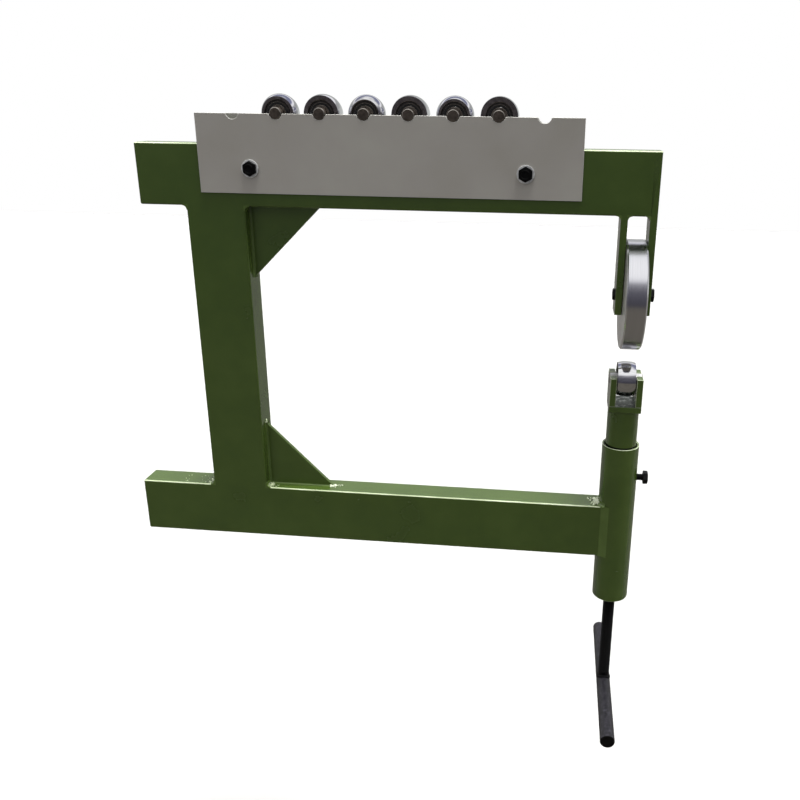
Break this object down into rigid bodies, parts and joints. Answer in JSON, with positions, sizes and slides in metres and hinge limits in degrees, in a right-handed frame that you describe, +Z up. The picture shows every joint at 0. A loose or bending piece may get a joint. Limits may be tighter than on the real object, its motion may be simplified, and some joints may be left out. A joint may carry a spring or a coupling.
{
  "type": "plate rolling machine",
  "caption": "Bench-top plate rolling machine: a tube C-frame holds a large wheel over a crowned anvil wheel on a screw-raised post, with a rack of spare anvils.",
  "frame": {"origin": "underside of the lower arm, on the column's centreline, in the machine's middle plane", "axes": "+X from the column towards the wheels, +Y to the back, +Z up; the wheels' centreline is at x = 581.5 mm"},
  "size_m": [0.7825, 0.28, 0.9128],
  "materials": {
    "green_paint": "gloss enamel over welded steel",
    "grey_paint": "satin grey paint on sheet steel",
    "black_steel": "black oxide on steel fasteners",
    "dark_steel": "oiled black bar steel",
    "bright_steel": "turned and ground steel",
    "bare_steel": "bare milled steel",
    "zinc_steel": "zinc plated washers",
    "race_steel": "ground bearing rings",
    "seal_rubber": "black rubber bearing seals and dark outer rings",
    "axle_steel": "dark turned axle ends"
  },
  "bodies": {
    "frame": {"lower_arm": "green_paint", "column": "green_paint", "upper_arm": "green_paint", "lower_gusset": "green_paint", "upper_gusset": "green_paint", "lower_arm_cap": "green_paint", "upper_arm_cap": "green_paint", "fork_inner_cheek": "green_paint", "fork_outer_cheek": "green_paint", "sleeve": "green_paint", "lift_nut": "dark_steel", "weld_beads": "green_paint", "rack_front_plate": "grey_paint", "rack_rear_plate": "grey_paint", "rack_studs": "black_steel", "rack_nuts": "black_steel", "rack_washers": "zinc_steel", "upper_inner_races": "race_steel", "upper_axle_bolt": "black_steel", "upper_axle_nut": "black_steel", "upper_spacers": "race_steel"},
    "upper_wheel": {"upper_wheel": "bright_steel", "upper_outer_races": "seal_rubber"},
    "lock_bolt": {"lock_bolt": "black_steel"},
    "post": {"post": "green_paint", "yoke_base": "bare_steel", "yoke_inner_cheek": "green_paint", "yoke_outer_cheek": "green_paint", "lift_plug": "dark_steel"},
    "lift_screw": {"lift_screw": "dark_steel", "handle_bar": "dark_steel"},
    "working_axle": {"anvil_axle": "axle_steel", "anvil_inner_races": "race_steel"},
    "working_anvil": {"anvil_roller": "bright_steel", "anvil_outer_races": "seal_rubber"},
    "spare_axle_1": {"spare_axle_1": "axle_steel", "spare_inner_races_1": "race_steel"},
    "spare_anvil_1": {"spare_roller_1": "bright_steel", "spare_outer_races_1": "seal_rubber"},
    "spare_axle_2": {"spare_axle_2": "axle_steel", "spare_inner_races_2": "race_steel"},
    "spare_anvil_2": {"spare_roller_2": "bright_steel", "spare_outer_races_2": "seal_rubber"},
    "spare_axle_3": {"spare_axle_3": "axle_steel", "spare_inner_races_3": "race_steel"},
    "spare_anvil_3": {"spare_roller_3": "bright_steel", "spare_outer_races_3": "seal_rubber"},
    "spare_axle_4": {"spare_axle_4": "axle_steel", "spare_inner_races_4": "race_steel"},
    "spare_anvil_4": {"spare_roller_4": "bright_steel", "spare_outer_races_4": "seal_rubber"},
    "spare_axle_5": {"spare_axle_5": "axle_steel", "spare_inner_races_5": "race_steel"},
    "spare_anvil_5": {"spare_roller_5": "bright_steel", "spare_outer_races_5": "seal_rubber"},
    "spare_axle_6": {"spare_axle_6": "axle_steel", "spare_inner_races_6": "race_steel"},
    "spare_anvil_6": {"spare_roller_6": "bright_steel", "spare_outer_races_6": "seal_rubber"}
  },
  "joints": [
    {"name": "upper_wheel_spin", "type": "hinge", "parent": "frame", "child": "upper_wheel", "pos_m": [0.5815, 0, 0.4038], "axis": [1, 0, 0], "continuous": true},
    {"name": "lock_bolt_turn", "type": "hinge", "parent": "frame", "child": "lock_bolt", "pos_m": [0.5815, 0, 0.127], "axis": [1, 0, 0], "range_deg": [0, 720]},
    {"name": "post_lift", "type": "slide", "parent": "frame", "child": "post", "axis": [0, 0, 1], "range_m": [-0.052, 0.0211]},
    {"name": "screw_turn", "type": "hinge", "parent": "post", "child": "lift_screw", "pos_m": [0.5815, 0, -0.24], "axis": [0, 0, 1], "range_deg": [-4680, 1890]},
    {"name": "working_anvil_lift", "type": "slide", "parent": "post", "child": "working_axle", "axis": [0, 0, -1], "range_m": [-0.018, 0]},
    {"name": "working_anvil_spin", "type": "hinge", "parent": "working_axle", "child": "working_anvil", "pos_m": [0.5815, 0, 0.28055], "axis": [1, 0, 0], "continuous": true},
    {"name": "spare_1_lift", "type": "slide", "parent": "frame", "child": "spare_axle_1", "axis": [0, 0, 1], "range_m": [0, 0.03]},
    {"name": "spare_1_spin", "type": "hinge", "parent": "spare_axle_1", "child": "spare_anvil_1", "pos_m": [0.095, 0, 0.63645], "axis": [0, 1, 0], "continuous": true},
    {"name": "spare_2_lift", "type": "slide", "parent": "frame", "child": "spare_axle_2", "axis": [0, 0, 1], "range_m": [0, 0.03]},
    {"name": "spare_2_spin", "type": "hinge", "parent": "spare_axle_2", "child": "spare_anvil_2", "pos_m": [0.1545, 0, 0.63645], "axis": [0, 1, 0], "continuous": true},
    {"name": "spare_3_lift", "type": "slide", "parent": "frame", "child": "spare_axle_3", "axis": [0, 0, 1], "range_m": [0, 0.03]},
    {"name": "spare_3_spin", "type": "hinge", "parent": "spare_axle_3", "child": "spare_anvil_3", "pos_m": [0.214, 0, 0.63645], "axis": [0, 1, 0], "continuous": true},
    {"name": "spare_4_lift", "type": "slide", "parent": "frame", "child": "spare_axle_4", "axis": [0, 0, 1], "range_m": [0, 0.03]},
    {"name": "spare_4_spin", "type": "hinge", "parent": "spare_axle_4", "child": "spare_anvil_4", "pos_m": [0.2735, 0, 0.63645], "axis": [0, 1, 0], "continuous": true},
    {"name": "spare_5_lift", "type": "slide", "parent": "frame", "child": "spare_axle_5", "axis": [0, 0, 1], "range_m": [0, 0.03]},
    {"name": "spare_5_spin", "type": "hinge", "parent": "spare_axle_5", "child": "spare_anvil_5", "pos_m": [0.333, 0, 0.63645], "axis": [0, 1, 0], "continuous": true},
    {"name": "spare_6_lift", "type": "slide", "parent": "frame", "child": "spare_axle_6", "axis": [0, 0, 1], "range_m": [0, 0.03]},
    {"name": "spare_6_spin", "type": "hinge", "parent": "spare_axle_6", "child": "spare_anvil_6", "pos_m": [0.3925, 0, 0.63645], "axis": [0, 1, 0], "continuous": true}
  ],
  "couplings": [
    {"joint": "post_lift", "follows": "screw_turn", "m_per_rad": 0.00063662}
  ]
}
